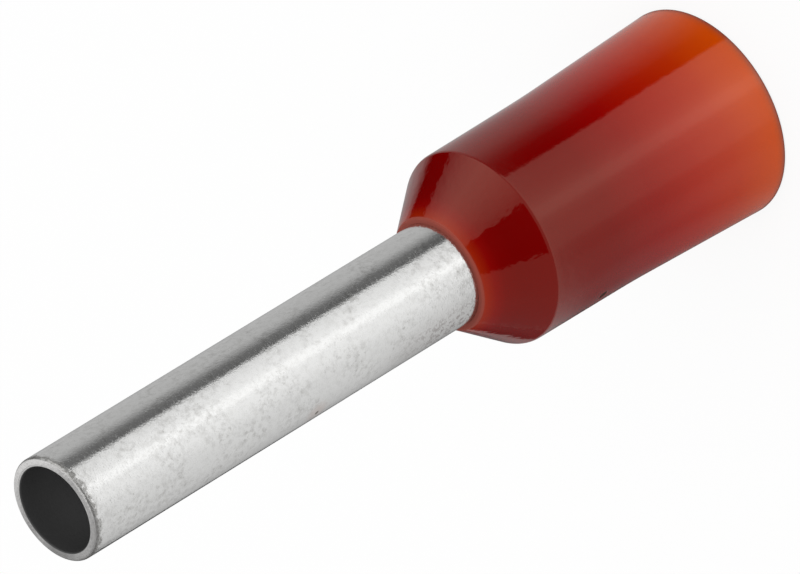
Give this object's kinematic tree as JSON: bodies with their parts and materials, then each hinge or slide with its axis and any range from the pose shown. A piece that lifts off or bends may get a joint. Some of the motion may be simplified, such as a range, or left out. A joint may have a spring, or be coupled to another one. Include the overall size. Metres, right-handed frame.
{
  "type": "insulated wire ferrule",
  "caption": "Insulated wire ferrule: a thin tinned sleeve seated by its funnel in a moulded collar, slid over a stripped stranded conductor and crimped.",
  "frame": {"origin": "centre of the collar's mouth, on the surface that the ferrule stands on", "axes": "+Z along the ferrule's axis, from the collar's mouth up to the sleeve's tip; -X towards the collar's gate mark"},
  "size_m": [0.0034, 0.0034, 0.0138],
  "materials": {
    "tinned_metal": "satin tin plating with fine pits",
    "red_plastic": "glossy, slightly translucent polypropylene"
  },
  "bodies": {
    "root": {"sleeve": "tinned_metal", "collar": "red_plastic"}
  },
  "joints": []
}
